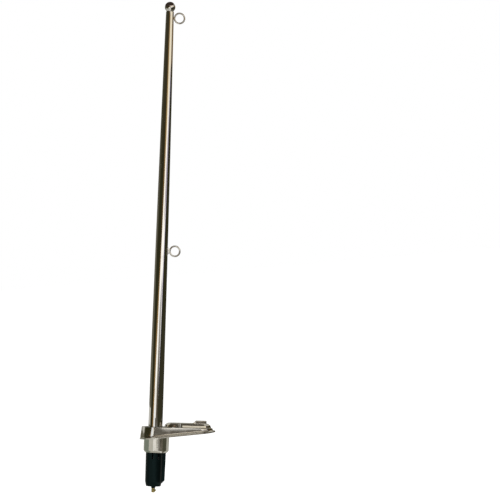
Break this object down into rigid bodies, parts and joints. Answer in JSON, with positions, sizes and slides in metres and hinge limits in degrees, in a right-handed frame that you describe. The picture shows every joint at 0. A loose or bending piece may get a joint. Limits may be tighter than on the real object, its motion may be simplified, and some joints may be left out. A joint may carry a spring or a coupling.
{
  "type": "plug-in stern flagpole with raked deck socket",
  "caption": "Tapered polished flagpole with ball finial and flag rings, plugged into a raked deck base with a swing cover over its socket.",
  "frame": {"origin": "on the flat underside of the deck flange, at the middle of the base, between its two screw holes", "axes": "+Z square to the deck, away from it; +X along the base from the socket towards the open cover; +Y across the base"},
  "size_m": [0.1473, 0.059, 0.8729],
  "materials": {
    "polished_tube": "mirror-polished stainless steel tube",
    "polished_casting": "polished cast stainless steel",
    "ring_steel": "polished stainless wire",
    "weld_steel": "weld bead, slightly heat-tinted",
    "screw_steel": "turned stainless steel",
    "black_plastic": "moulded black plastic, satin",
    "gloss_black": "moulded black plastic, glossy",
    "brass": "turned brass, dulled"
  },
  "bodies": {
    "base": {"base_casting": "polished_casting", "socket_body": "black_plastic", "contact_stud": "brass", "terminal_block": "brass", "clamp_screw": "brass"},
    "cover": {"cover": "polished_casting", "pivot_screw": "screw_steel", "spring_washer": "screw_steel"},
    "pole": {"pole_tube": "polished_tube", "pole_plug": "gloss_black", "finial_ball": "polished_tube", "upper_ring": "ring_steel", "upper_ring_weld": "weld_steel", "lower_ring": "ring_steel", "lower_ring_tab": "ring_steel"}
  },
  "joints": [
    {"name": "pole_lift", "type": "slide", "parent": "base", "child": "pole", "axis": [0.1219, 0, 0.9925], "range_m": [0, 0.06]},
    {"name": "cover_swing", "type": "hinge", "parent": "base", "child": "cover", "pos_m": [0, 0, 0.0146], "axis": [0.1219, 0, 0.9925], "range_deg": [-100, 100]}
  ]
}
